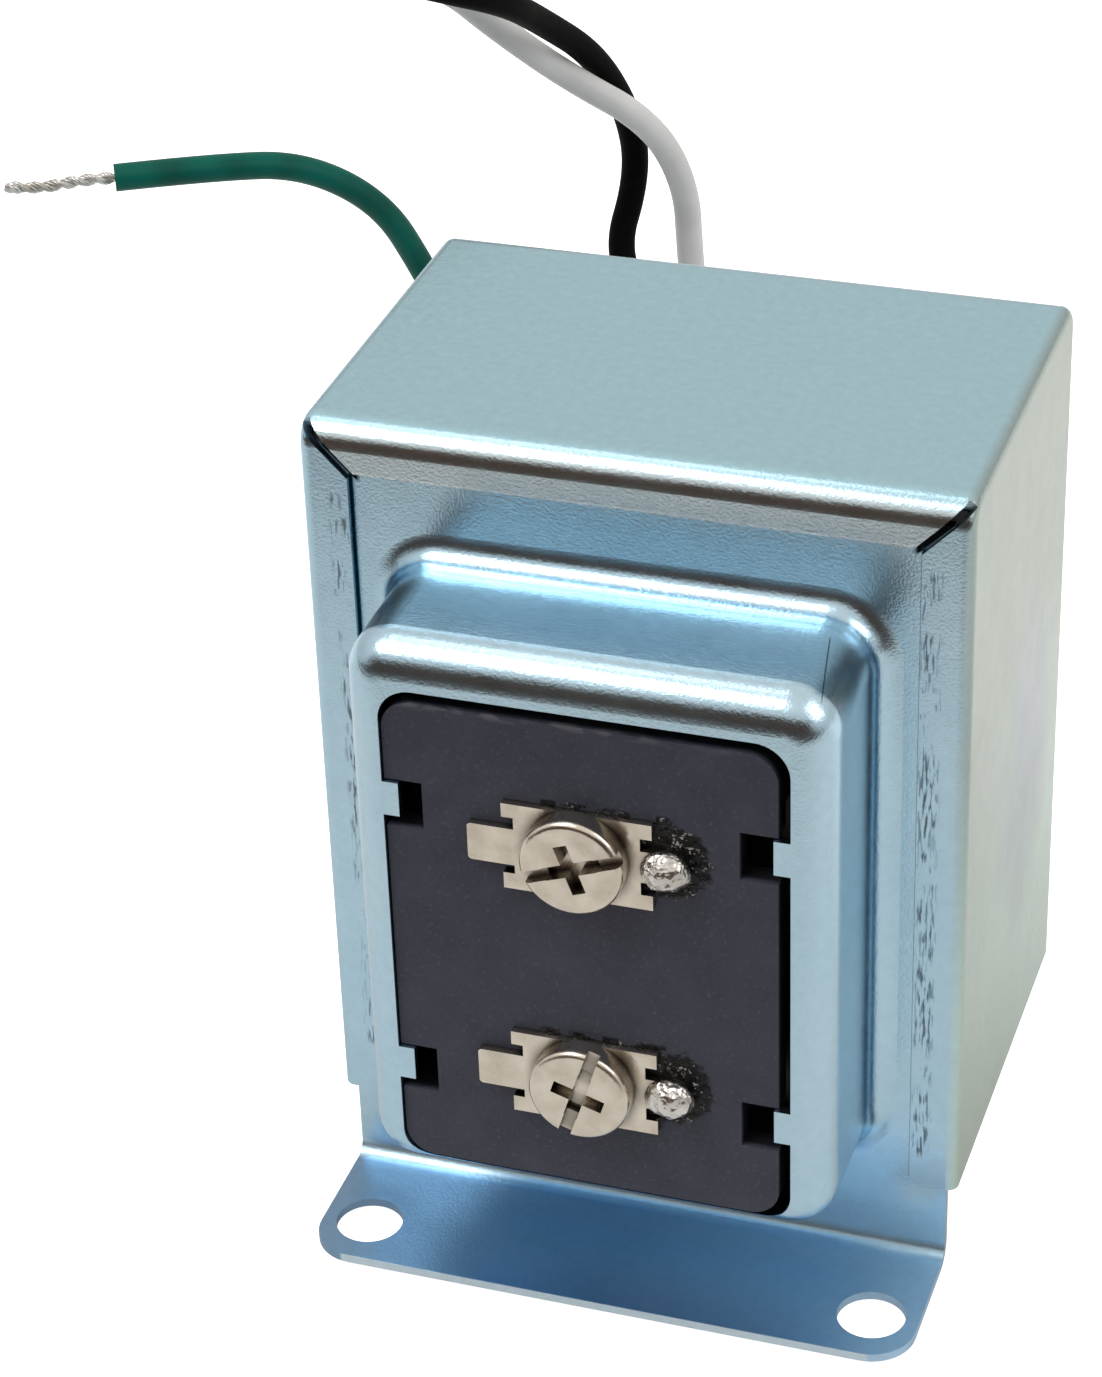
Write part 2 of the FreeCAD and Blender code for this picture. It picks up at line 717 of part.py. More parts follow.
def terminal_body(label, height):
    """A stamped plate with turned ears at its corners, a wiring tab at the left and a lug."""
    body = new_body(label)
    outline = new_sketch(body, "XZ", "plate_face", board_x, height)
    w = "plate_width / 2"
    h = "plate_height / 2"
    step = "plate_width / 2 - 1"
    draw_polygon(
        outline,
        [
            (minus(w), minus(h)),
            (w, minus(h)),
            (w, f"{minus(h)} + 1.4"),
            (step, f"{minus(h)} + 1.4"),
            (step, "0 - 1.5"),
            ("lug_position + 1.6", "0 - 1.5"),
            ("lug_position + 1.6", "1.5"),
            (step, "1.5"),
            (step, f"{h} - 1.4"),
            (w, f"{h} - 1.4"),
            (w, h),
            (minus(w), h),
            (minus(w), f"{h} - 1.3"),
            (minus(step), f"{h} - 1.3"),
            (minus(step), "1.7"),
            (f"{minus(w)} - tab_length", "1.7"),
            (f"{minus(w)} - tab_length", "0 - 1.8"),
            (minus(step), "0 - 1.8"),
            (minus(step), "0 - 2.6"),
            (minus(w), "0 - 2.6"),
        ],
    )
    pad(body, outline, "plate_thickness")
    tip = value("lug_side") + 1.6
    dress(body, "Fillet", "1.2", lambda b: in_plane(b.XMin, b.XMax, tip) and b.ZLength < 0.01)
    tab = value(board_x) - value("plate_width") / 2 - value("tab_length")
    dress(body, "Fillet", "0.35", lambda b: in_plane(b.XMin, b.XMax, tab) and b.ZLength < 0.01)
    holes = new_sketch(body, "XZ", "plate_face - 1", board_x, height)
    draw_circle(holes, "0", "0", "tapped_hole")
    draw_circle(holes, "lug_position", "0", "lug_hole")
    cut(body, holes, "plate_thickness + 2")
    return body


def binding_screw(label, height, angle):
    """Rounded head with a slot right across it and a cross in the middle."""
    body = new_body(label)
    head = new_sketch(body, "XZ", "0 - head_height")
    draw_circle(head, "0", "0", "screw_head")
    pad(body, head, "head_height")
    front = -value("head_height")
    dress(body, "Fillet", "head_rounding", lambda b: in_plane(b.YMin, b.YMax, front))
    shank = new_sketch(body, "XZ", "0")
    draw_circle(shank, "0", "0", "screw_shank")
    pad(body, shank, "screw_length")
    recesses = (
        ("screw_head / 2 + 1", "slot_width / 2", "slot_depth"),
        ("cross_span / 2", "cross_width / 2", "cross_depth"),
        ("cross_width / 2", "cross_span / 2", "cross_depth"),
    )
    for across, up, depth in recesses:
        recess = new_sketch(body, "XZ", "0 - head_height - 1")
        draw_box(recess, minus(across), across, minus(up), up)
        cut(body, recess, f"{depth} + 1")
    turn = FreeCAD.Rotation(V(0, 1, 0), -value(angle))
    body.Placement = FreeCAD.Placement(V(value(board_x), value("plate_face"), value(height)), turn)
    body.setExpression("Placement.Base.x", bound(board_x))
    body.setExpression("Placement.Base.y", bound("plate_face"))
    body.setExpression("Placement.Base.z", bound(height))
    return body


def solder_joint(label, height):
    """Half an ellipsoid of solder over the lug's hole."""
    solder = doc.addObject("Part::Ellipsoid", label)
    solder.Label = label
    solder.setExpression("Radius1", bound("solder_bulge"))
    solder.setExpression("Radius2", bound("solder_width / 2"))
    solder.setExpression("Radius3", bound("solder_height / 2"))
    solder.Angle1 = 0
    place = V(value("lug_side"), value("plate_face"), value(height))
    solder.Placement = FreeCAD.Placement(place, FreeCAD.Rotation(V(1, 0, 0), 90))
    solder.setExpression("Placement.Base.x", bound("lug_side"))
    solder.setExpression("Placement.Base.y", bound("plate_face"))
    solder.setExpression("Placement.Base.z", bound(height))
    return solder


fittings = []
for end in ("upper", "lower"):
    height = f"{end}_terminal_height"
    fittings.append(terminal_body(f"{end}_terminal", height))
    fittings.append(binding_screw(f"{end}_terminal_screw", height, f"{end}_slot_angle"))
    fittings.append(solder_joint(f"{end}_solder_joint", height))

# Hub that the leads leave by, its locknut and the bush inside it

hub = new_body("hub")
flange = new_sketch(hub, "XZ", "hub_start", up="dome_middle")
draw_circle(flange, "0", "0", "hub_flange")
pad(hub, flange, "hub_flange_thickness")
barrel = new_sketch(hub, "XZ", "hub_start", up="dome_middle")
draw_circle(barrel, "0", "0", "hub_diameter")
pad(hub, barrel, "hub_reach")
bore = new_sketch(hub, "XZ", "hub_start - 1", up="dome_middle")
draw_circle(bore, "0", "0", "hub_bore")
cut(hub, bore, "hub_reach + 2")

locknut = new_body("locknut")
outline = new_sketch(locknut, "XZ", "rear_dome_face", up="dome_middle")
flat = "locknut_width / 2"
chop = "locknut_width * 0.2071"
draw_polygon(
    outline,
    [
        (flat, minus(chop)),
        (flat, chop),
        (chop, flat),
        (minus(chop), flat),
        (minus(flat), chop),
        (minus(flat), minus(chop)),
        (minus(chop), minus(flat)),
        (chop, minus(flat)),
    ],
)
pad(locknut, outline, "locknut_thickness")
bore = new_sketch(locknut, "XZ", "rear_dome_face - 1", up="dome_middle")
draw_circle(bore, "0", "0", "hub_hole")
cut(locknut, bore, "locknut_thickness + 2")

lead_bushing = new_body("lead_bushing")
core = new_sketch(lead_bushing, "XZ", "hub_start", up="dome_middle")
draw_circle(core, "0", "0", "bush_diameter")
pad(lead_bushing, core, "hub_reach")
lip = new_sketch(lead_bushing, "XZ", "hub_end", up="dome_middle")
draw_circle(lip, "0", "0", "bush_lip")
pad(lead_bushing, lip, "bush_lip_thickness")
bush_face = value("bush_face")
dress(lead_bushing, "Fillet", "0.5", lambda b: in_plane(b.YMin, b.YMax, bush_face))
holes = new_sketch(lead_bushing, "XZ", "hub_start - 1", up="dome_middle")
draw_circle(holes, "0 - lead_side", "lead_rise", "lead_hole")
draw_circle(holes, "0 - lead_side", "0 - lead_rise", "lead_hole")
draw_circle(holes, "green_side", "0", "lead_hole")
cut(lead_bushing, holes, "hub_reach + bush_lip_thickness + 2")


# Round pieces from primitives


def cylinder(label, diameter, length, x, y, z, axis):
    """A cylinder from (x, y, z) along +Y or +Z, every size and place bound to the sheet."""
    rod = doc.addObject("Part::Cylinder", label)
    rod.Label = label
    rod.setExpression("Radius", bound(f"{diameter} / 2"))
    rod.setExpression("Height", bound(length))
    turn = FreeCAD.Rotation(V(1, 0, 0), -90 if axis == "Y" else 0)
    rod.Placement = FreeCAD.Placement(V(value(x), value(y), value(z)), turn)
    rod.setExpression("Placement.Base.x", bound(x))
    rod.setExpression("Placement.Base.y", bound(y))
    rod.setExpression("Placement.Base.z", bound(z))
    return rod


def join(label, pieces, kind="Part::MultiFuse"):
    whole = doc.addObject(kind, label)
    whole.Label = label
    if kind == "Part::Compound":
        whole.Links = pieces
    else:
        whole.Shapes = pieces
    return whole


# Two self-tapping screws hold the back cover's lower corners to the core
screws = []
for name, side in (("right", "yoke_hole_side"), ("left", minus("yoke_hole_side"))):
    place = (side, "rear_flange_face", "lower_hole_height")
    head = cylinder(f"{name}_head", "rear_head", "rear_head_height", *place, "Y")
    start = "rear_flange_face - rear_screw_length"
    whole = "rear_screw_length + rear_head_height"
    shank = cylinder(f"{name}_shank", "rear_shank", whole, side, start, place[2], "Y")
    screws.append(join(f"{name}_rear_screw", [head, shank]))
rear_screws = join("rear_screws", screws, "Part::Compound")

# Earthing: a ring tongue on the green lead, riveted to the back cover
ring_place = ("green_side", "ring_face", "ring_height")
disc = cylinder("ring_disc", "ring_diameter", "ring_thickness", *ring_place, "Y")
barrel_place = ("green_side", "ring_face - barrel_diameter / 2 + 0.3", "barrel_bottom")
barrel = cylinder("ring_barrel", "barrel_diameter", "barrel_length", *barrel_place, "Z")
neck = doc.addObject("Part::Box", "ring_neck")
neck.setExpression("Length", bound("neck_width"))
neck.setExpression("Width", bound("ring_thickness"))
neck.setExpression("Height", bound("ring_height - barrel_bottom - 1"))
neck.setExpression("Placement.Base.x", bound("green_side - neck_width / 2"))
neck.setExpression("Placement.Base.y", bound("ring_face"))
neck.setExpression("Placement.Base.z", bound("barrel_bottom + 1"))
blank = join("ring_blank", [disc, neck, barrel])
hole_place = ("green_side", "ring_face - 1", "ring_height")
hole = cylinder("ring_hole", "ring_bore", "ring_thickness + 2", *hole_place, "Y")
ground_ring = doc.addObject("Part::Cut", "ground_ring")
ground_ring.Label = "ground_ring"
ground_ring.Base = blank
ground_ring.Tool = hole

inner_start = ("green_side", "ring_face - rivet_inner_height", "ring_height")
inner_head = cylinder("rivet_inner", "rivet_inner_head", "rivet_inner_height", *inner_start, "Y")
shank_length = "rivet_inner_height + ring_thickness + sheet_gauge + rivet_outer_height"
shank = cylinder("rivet_middle", "rivet_shank", shank_length, *inner_start, "Y")
outer_start = ("green_side", "rear_dome_face", "ring_height")
outer_head = cylinder("rivet_outer", "rivet_outer_head", "rivet_outer_height", *outer_start, "Y")
ground_rivet = join("ground_rivet", [inner_head, shank, outer_head])

# Splice sleeves, where the two primary leads meet the winding's ends
sleeve_y = "tape_back + sleeve_diameter / 2"
upper_splice = "dome_middle + upper_splice_rise"
lower_splice = "dome_middle - lower_splice_drop - sleeve_length"
sleeves = []
for label, start in (("upper_sleeve", upper_splice), ("lower_sleeve", lower_splice)):
    place = ("0 - lead_side", sleeve_y, start)
    sleeves.append(cylinder(label, "sleeve_diameter", "sleeve_length", *place, "Z"))
splice_sleeves = join("splice_sleeves", sleeves, "Part::Compound")


# Wires and leads: round tubes along straight runs joined by tangent arcs


def tube(label, points, diameter, smallest, bend=None):
    """A tube along a route, each arc as large as its two runs allow or of the radius given."""
    points = [V(*point) for point in points]
    runs = [b - a for a, b in zip(points, points[1:])]
    edges = []
    radii = []
    last = points[0]
    length = 0.0
    for i, corner in enumerate(points[1:-1]):
        before = V(runs[i])
        after = V(runs[i + 1])
        reach = 0.45 * min(before.Length, after.Length)
        before.normalize()
        after.normalize()
        half_turn = before.getAngle(after) / 2
        radius = reach / math.tan(half_turn) if bend is None else bend
        reach = radius * math.tan(half_turn)
        start = corner - before * reach
        end = corner + after * reach
        inward = after - before
        inward.normalize()
        middle = corner + inward * (radius / math.cos(half_turn) - radius)
        edges.append(Part.LineSegment(last, start).toShape())
        edges.append(Part.Arc(start, middle, end).toShape())
        length += (start - last).Length + 2 * radius * half_turn
        radii.append(round(radius, 1))
        last = end
    edges.append(Part.LineSegment(last, points[-1]).toShape())
    length += (points[-1] - last).Length
    path = Part.Wire(edges)
    ring = Part.Wire([Part.makeCircle(diameter / 2, points[0], runs[0])])
    solid = path.makePipeShell([ring], True, False)
    expected = math.pi * diameter**2 / 4 * length
    print(f"{label}: length {length:.1f}, radii {radii}, volume {solid.Volume:.1f} of {expected:.1f}")
    if abs(solid.Volume - expected) > 0.01 * expected or min(radii, default=smallest) < smallest:
        raise RuntimeError(f"{label}: the tube isn't as its route says")
    piece = doc.addObject("Part::Feature", label)
    piece.Label = label
    piece.Shape = solid
    return piece


def bare_tip(label, points):
    """The stripped, twisted strands that go on straight from the last point of a route."""
    end = V(*points[-1])
    ahead = end - V(*points[-2])
    tip = doc.addObject("Part::Cylinder", label)
    tip.Label = label
    tip.setExpression("Radius", bound("strand_diameter / 2"))
    tip.setExpression("Height", bound("strand_length"))
    tip.Placement = FreeCAD.Placement(end, FreeCAD.Rotation(V(0, 0, 1), ahead))
    return tip


lug_x = value("lug_side")
tape_front = value("tape_front")
plate_face = value("plate_face")
wire = value("magnet_wire")
wires = []
for end, step in (("upper", "- magnet_wire_step"), ("lower", "+ magnet_wire_step")):
    z = value(f"{end}_terminal_height")
    first = value(f"{end}_terminal_height {step}")
    route = [
        (lug_x, tape_front, first),
        (lug_x, tape_front - 1.45, first),
        (lug_x, tape_front - 1.45, z),
        (lug_x, plate_face, z),
    ]
    wires.append(tube(f"{end}_secondary_lead", route, wire, 0.6, bend=0.65))

lead = value("lead_diameter")
side = -value("lead_side")
rise = value("lead_rise")
middle = value("dome_middle")
sleeve_middle = value(sleeve_y)
barrel_middle = value(barrel_place[1])
black_exit = (side, bush_face, middle + rise)
white_exit = (side, bush_face, middle - rise)
green_exit = (value("green_side"), bush_face, middle)
green_side = value("green_side")
barrel_bottom = value("barrel_bottom")
straight_end = bush_face + value("lead_straight")
inner_ends = (
    ("black", black_exit, sleeve_middle, value(upper_splice), 2.2),
    ("white", white_exit, sleeve_middle, value(lower_splice) + value("sleeve_length"), 2.2),
    ("green", green_exit, barrel_middle, barrel_bottom, 1.5),
)
for colour, start, depth, end_height, bend in inner_ends:
    x, _, z = start
    route = [start, (x, depth, z), (x, depth, end_height)]
    wires.append(tube(f"{colour}_inner_lead", route, lead, 1.5, bend))

# Control points of the three free leads, from the bush to where the insulation ends
BLACK_ROUTE = [
    black_exit,
    (side, straight_end, middle + rise),
    (-13.0, 93.0, 42.0),
    (-24.0, 96.5, 43.5),
    (-30.0, 98.5, 49.5),
    (-28.0, 101.5, 58.2),
    (-28.8, 101.2, 65.1),
    (-31.2, 97.6, 72.6),
    (-34.3, 89.5, 79.2),
    (-35.0, 82.5, 83.5),
    (-39.0, 76.0, 87.0),
    (-46.0, 71.5, 90.0),
    (-55.5, 71.5, 92.0),
    (-65.0, 74.5, 92.5),
    (-74.0, 79.0, 92.5),
    (-81.5, 84.5, 92.0),
    (-89.0, 90.5, 91.0),
]
WHITE_ROUTE = [
    white_exit,
    (side, straight_end, middle - rise),
    (-9.0, 90.0, 33.5),
    (-16.0, 95.5, 34.5),
    (-21.5, 100.0, 40.5),
    (-23.0, 103.0, 49.0),
    (-22.8, 101.2, 57.8),
    (-25.3, 97.4, 65.9),
    (-32.6, 94.0, 71.3),
    (-40.0, 93.5, 76.2),
    (-43.5, 87.5, 83.0),
    (-50.0, 81.5, 86.0),
    (-59.0, 79.5, 88.0),
    (-68.0, 82.5, 90.5),
    (-75.5, 88.0, 92.5),
    (-81.5, 95.5, 94.5),
]
GREEN_ROUTE = [
    green_exit,
    (green_side, straight_end, middle),
    (-2.0, 90.5, 37.5),
    (-12.0, 94.0, 36.5),
    (-23.0, 93.0, 35.5),
    (-34.0, 91.0, 36.5),
    (-43.5, 89.5, 41.5),
    (-48.0, 90.5, 50.0),
    (-51.5, 88.5, 58.0),
    (-58.0, 84.0, 63.5),
    (-65.5, 79.0, 64.5),
    (-74.5, 74.5, 64.3),
]
leads = []
for colour, route in (("black", BLACK_ROUTE), ("white", WHITE_ROUTE), ("green", GREEN_ROUTE)):
    leads.append(tube(f"{colour}_lead", route, lead, 2 * lead))
    leads.append(bare_tip(f"{colour}_lead_tip", route))

# Every sub-part, in the order of its file
PARTS = [
    shroud,
    front_cover,
    back_cover,
    e_stack,
    i_stack,
    bobbin,
    *rings,
    thermal_cutoff,
    terminal_board,
    *fittings,
    *wires,
    hub,
    locknut,
    lead_bushing,
    rear_screws,
    splice_sleeves,
    ground_ring,
    ground_rivet,
    *leads,
]
doc.recompute()
faulty = []
for item in doc.Objects:
    if {"Invalid", "Error"} & set(item.State):
        faulty.append(f"{item.Label} {item.State}")
if faulty:
    raise RuntimeError(f"not built: {faulty}")
os.makedirs("parts", exist_ok=True)
for item in PARTS:
    shape = item.Shape
    if shape.isNull() or not shape.isValid() or not shape.Solids:
        raise RuntimeError(f"{item.Label}: no valid solid")
    shape.exportStep(f"parts/{item.Label}.step")
    box = shape.BoundBox
    lows = (box.XMin, box.YMin, box.ZMin)
    highs = (box.XMax, box.YMax, box.ZMax)
    spans = [f"{low:.1f}..{high:.1f}" for low, high in zip(lows, highs)]
    print(item.Label, len(shape.Solids), f"{shape.Volume:.0f}", *spans)
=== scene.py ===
"""Look of the doorbell transformer: materials, leads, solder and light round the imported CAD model.

Metres, in the frame of the CAD: the origin is midway between the foot holes, on the foot's underside.
"""

import json
import math
import random

import bmesh
import bpy
from mathutils import Matrix, Vector


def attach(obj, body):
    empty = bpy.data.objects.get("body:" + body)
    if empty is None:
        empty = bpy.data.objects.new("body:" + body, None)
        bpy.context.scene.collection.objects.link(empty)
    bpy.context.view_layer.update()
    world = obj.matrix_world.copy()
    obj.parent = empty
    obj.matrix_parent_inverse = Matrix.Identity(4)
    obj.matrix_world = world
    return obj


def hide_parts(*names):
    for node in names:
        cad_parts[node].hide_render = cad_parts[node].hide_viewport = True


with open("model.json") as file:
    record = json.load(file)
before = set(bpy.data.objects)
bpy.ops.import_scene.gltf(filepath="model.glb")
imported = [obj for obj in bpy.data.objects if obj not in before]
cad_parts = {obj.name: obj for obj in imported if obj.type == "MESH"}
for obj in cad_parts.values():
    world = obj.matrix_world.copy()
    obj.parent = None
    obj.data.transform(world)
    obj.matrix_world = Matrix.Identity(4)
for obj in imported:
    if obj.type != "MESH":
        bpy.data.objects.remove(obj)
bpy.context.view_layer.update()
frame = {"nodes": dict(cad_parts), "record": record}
nodes = frame["nodes"]
scene = bpy.context.scene
scene.view_settings.view_transform = "Standard"
scene.view_settings.look = "None"

MM = 0.001


def put(name, data):
    """A new object in the scene."""
    thing = bpy.data.objects.new(name, data)
    scene.collection.objects.link(thing)
    return thing


def corners(name):
    """Lowest and highest corner of a CAD node."""
    node = nodes[name]
    points = [node.matrix_world @ Vector(corner) for corner in node.bound_box]
    low = Vector([min(along) for along in zip(*points)])
    high = Vector([max(along) for along in zip(*points)])
    return low, high


# Camera, from the photograph's perspective

AZIMUTH = math.radians(19.354)
ELEVATION = math.radians(31.542)
ROLL = math.radians(-2.135)
CAMERA_PLACE = (0.08362, -0.24952, 0.22216)
FOCAL_PIXELS = 3867.68
PICTURE_HEIGHT = 1377
SENSOR = 36.0

back = Vector(
    (
        math.sin(AZIMUTH) * math.cos(ELEVATION),
        -math.cos(AZIMUTH) * math.cos(ELEVATION),
        math.sin(ELEVATION),
    )
)
level = Vector((math.cos(AZIMUTH), math.sin(AZIMUTH), 0))
upright = back.cross(level)
across = level * math.cos(ROLL) + upright * math.sin(ROLL)
upward = upright * math.cos(ROLL) - level * math.sin(ROLL)
camera_data = bpy.data.cameras.new("camera")
camera_data.sensor_width = SENSOR
camera_data.lens = FOCAL_PIXELS * SENSOR / PICTURE_HEIGHT
camera_data.clip_start = 0.01
camera_data.clip_end = 20
camera = put("camera", camera_data)
turned = Matrix((across, upward, back)).transposed().to_4x4()
camera.matrix_world = Matrix.Translation(CAMERA_PLACE) @ turned
scene.camera = camera


# Node-tree helpers


def new_material(name):
    material = bpy.data.materials.new(name)
    material.use_nodes = True
    tree = material.node_tree
    shader = tree.nodes["Principled BSDF"]
    return material, tree, shader


def add(tree, kind, inputs=None, **settings):
    """A node with its settings and inputs; an input is a value or another node's output."""
    node = tree.nodes.new(f"ShaderNode{kind}")
    for key, setting in settings.items():
        setattr(node, key, setting)
    for key, given in (inputs or {}).items():
        if isinstance(given, bpy.types.NodeSocket):
            tree.links.new(given, node.inputs[key])
        else:
            node.inputs[key].default_value = given
    return node


def place(tree):
    return add(tree, "TexCoord").outputs["Object"]


def separated(tree, vector):
    """The x, y and z of a vector."""
    return add(tree, "SeparateXYZ", {0: vector}).outputs


def scaled(tree, vector, scale):
    return add(tree, "Mapping", {"Vector": vector, "Scale": scale}).outputs[0]


def distance(tree, vector, point):
    return add(tree, "VectorMath", {0: vector, 1: point}, operation="DISTANCE").outputs["Value"]


def noise_of(tree, vector, scale, detail=3.0, rough=0.5):
    inputs = {"Vector": vector, "Scale": scale, "Detail": detail, "Roughness": rough}
    return add(tree, "TexNoise", inputs).outputs["Fac"]


def ranged(tree, source, low, high, to_low, to_high):
    inputs = {
        "Value": source,
        "From Min": low,
        "From Max": high,
        "To Min": to_low,
        "To Max": to_high,
    }
    return add(tree, "MapRange", inputs).outputs[0]


def rising(tree, source, low, high):
    """0 up to low, 1 from high."""
    return ranged(tree, source, low, high, 0.0, 1.0)


def falling(tree, source, low, high):
    """1 up to low, 0 from high."""
    return ranged(tree, source, low, high, 1.0, 0.0)


def mixed(tree, factor, first, second, blend="MIX"):
    """Two colours mixed; a colour is a triple or another node's output."""
    node = add(tree, "Mix", data_type="RGBA", blend_type=blend)
    for socket, given in ((node.inputs[0], factor), (node.inputs[6], first), (node.inputs[7], second)):
        if isinstance(given, bpy.types.NodeSocket):
            tree.links.new(given, socket)
        elif isinstance(given, tuple):
            socket.default_value = (*given, 1.0)
        else:
            socket.default_value = given
    return node.outputs[2]


def maths(tree, operation, first, second=0.0):
    return add(tree, "Math", {0: first, 1: second}, operation=operation).outputs[0]


def off_from(tree, value, line):
    """How far the value lies from a line, either way."""
    return maths(tree, "ABSOLUTE", maths(tree, "SUBTRACT", value, line))


def both(tree, *masks):
    """Where every mask is 1."""
    whole = masks[0]
    for mask in masks[1:]:
        whole = maths(tree, "MULTIPLY", whole, mask)
    return whole


def band(tree, value, low, high, soft):
    """1 where the value lies between low and high, with soft ends."""
    rise = rising(tree, value, low - soft, low + soft)
    fall = falling(tree, value, high - soft, high + soft)
    return both(tree, rise, fall)


def bump(tree, height, strength, depth, normal=None):
    inputs = {"Height": height, "Strength": strength, "Distance": depth}
    if normal is not None:
        inputs["Normal"] = normal
    return add(tree, "Bump", inputs).outputs[0]


def surface(tree, shader, colour, roughness, normal):
    """The three patterns of a surface, linked to its shader."""
    for name, output in (("Base Color", colour), ("Roughness", roughness), ("Normal", normal)):
        tree.links.new(output, shader.inputs[name])


# Free leads: one smooth spline each, through the same control points as the CAD tubes

BLACK_ROUTE = (
    (-4.4, 71.9, 41.5),
    (-4.4, 82.0, 41.5),
    (-13.0, 93.0, 42.0),
    (-24.0, 96.5, 43.5),
    (-30.0, 98.5, 49.5),
    (-28.0, 101.5, 58.2),
    (-28.8, 101.2, 65.1),
    (-31.2, 97.6, 72.6),
    (-34.3, 89.5, 79.2),
    (-35.0, 82.5, 83.5),
    (-39.0, 76.0, 87.0),
    (-46.0, 71.5, 90.0),
    (-55.5, 71.5, 92.0),
    (-65.0, 74.5, 92.5),
    (-74.0, 79.0, 92.5),
    (-81.5, 84.5, 92.0),
    (-89.0, 90.5, 91.0),
)
WHITE_ROUTE = (
    (-4.4, 71.9, 35.3),
    (-4.4, 82.0, 35.3),
    (-9.0, 90.0, 33.5),
    (-16.0, 95.5, 34.5),
    (-21.5, 100.0, 40.5),
    (-23.0, 103.0, 49.0),
    (-22.8, 101.2, 57.8),
    (-25.3, 97.4, 65.9),
    (-32.6, 94.0, 71.3),
    (-40.0, 93.5, 76.2),
    (-43.5, 87.5, 83.0),
    (-50.0, 81.5, 86.0),
    (-59.0, 79.5, 88.0),
    (-68.0, 82.5, 90.5),
    (-75.5, 88.0, 92.5),
    (-81.5, 95.5, 94.5),
)
GREEN_ROUTE = (
    (4.2, 71.9, 38.4),
    (4.2, 82.0, 38.4),
    (-2.0, 90.5, 37.5),
    (-12.0, 94.0, 36.5),
    (-23.0, 93.0, 35.5),
    (-34.0, 91.0, 36.5),
    (-43.5, 89.5, 41.5),
    (-48.0, 90.5, 50.0),
    (-51.5, 88.5, 58.0),
    (-58.0, 84.0, 63.5),
    (-65.5, 79.0, 64.5),
    (-74.5, 74.5, 64.3),
)
LEAD_DIAMETER = 2.8 * MM
TIP_LENGTH = 11.0 * MM

# Bare strands: two bunches of five, twisted in themselves and round each other
STRAND = 0.17 * MM
STRANDS = 10
BUNCHES = 2
STRAND_STEPS = 60
STRAND_OFFSET = 0.21 * MM
STRAND_TURNS = 5.5
BUNCH_OFFSET = 0.30 * MM
BUNCH_TURNS = 3.2
BUNCH_TAPER = 0.15
TUCKED_IN = 0.6 * MM
RAGGED_END = 0.05
BEND_WAVES = 2.3
SEALED_END = 0.12


def insulation(name, colour, roughness, dirt, gloss):
    """Extruded PVC with a soft sheen, a fine grain and light soiling."""
    material, tree, shader = new_material(name)
    at = place(tree)
    soiled = rising(tree, noise_of(tree, at, 180.0, 4.0), 0.3, 0.75)
    grain = noise_of(tree, at, 2600.0, 2.0)
    sheen = ranged(tree, grain, 0.2, 0.8, roughness - 0.05, roughness + 0.08)
    fine = bump(tree, noise_of(tree, at, 900.0, 4.0), 0.25, 0.08 * MM)
    surface(tree, shader, mixed(tree, soiled, colour, dirt), sheen, fine)
    shader.inputs["Specular IOR Level"].default_value = gloss
    return material


def tinned_copper():
    """Twisted tinned strands: bright grey metal with duller patches of flux."""
    material, tree, shader = new_material("tinned_strand")
    at = place(tree)
    patch = rising(tree, noise_of(tree, at, 700.0), 0.35, 0.7)
    colour = mixed(tree, patch, (0.72, 0.72, 0.71), (0.42, 0.40, 0.36))
    fine = bump(tree, noise_of(tree, at, 5000.0), 0.3, 0.03 * MM)
    surface(tree, shader, colour, ranged(tree, patch, 0, 1, 0.28, 0.5), fine)
    shader.inputs["Metallic"].default_value = 0.9
    return material


def strand_bundle(name, start, ahead, material, seed, sway):
    """Two bunches of strands twisted round each other, a little bent and stuck together at the end."""
    rng = random.Random(seed)
    aside = ahead.orthogonal().normalized()
    other = ahead.cross(aside)
    curve = bpy.data.curves.new(name, "CURVE")
    curve.dimensions = "3D"
    curve.bevel_depth = STRAND
    curve.bevel_resolution = 2
    curve.use_fill_caps = True
    for strand in range(STRANDS):
        spline = curve.splines.new("POLY")
        length = TIP_LENGTH * (1 - rng.uniform(0.0, RAGGED_END))
        spline.points.add(STRAND_STEPS)
        bunch = 2 * math.pi * (strand % BUNCHES) / BUNCHES
        own = 2 * math.pi * (strand // BUNCHES) / (STRANDS // BUNCHES)
        for i in range(STRAND_STEPS + 1):
            t = i / STRAND_STEPS
            outer = bunch + 2 * math.pi * BUNCH_TURNS * t
            inner = own + 2 * math.pi * STRAND_TURNS * t
            wide = BUNCH_OFFSET * (1 - BUNCH_TAPER * t)
            bent = sway * MM * math.sin(BEND_WAVES * math.pi * t) * t
            point = start + ahead * (length * t - TUCKED_IN * (1 - t))
            point += aside * (wide * math.cos(outer) + STRAND_OFFSET * math.cos(inner))
            point += other * (wide * math.sin(outer) + STRAND_OFFSET * math.sin(inner) + bent)
            sealed = max(0.0, (t - (1 - SEALED_END)) / SEALED_END)
            spline.points[i].co = (*point, 1)
            spline.points[i].radius = 1 + 0.5 * sealed
    tip = put(name, curve)
    curve.materials.append(material)
    depsgraph = bpy.context.evaluated_depsgraph_get()
    mesh = bpy.data.meshes.new_from_object(tip.evaluated_get(depsgraph))
    bpy.data.objects.remove(tip)
    mesh.shade_smooth()
    return put(name, mesh)


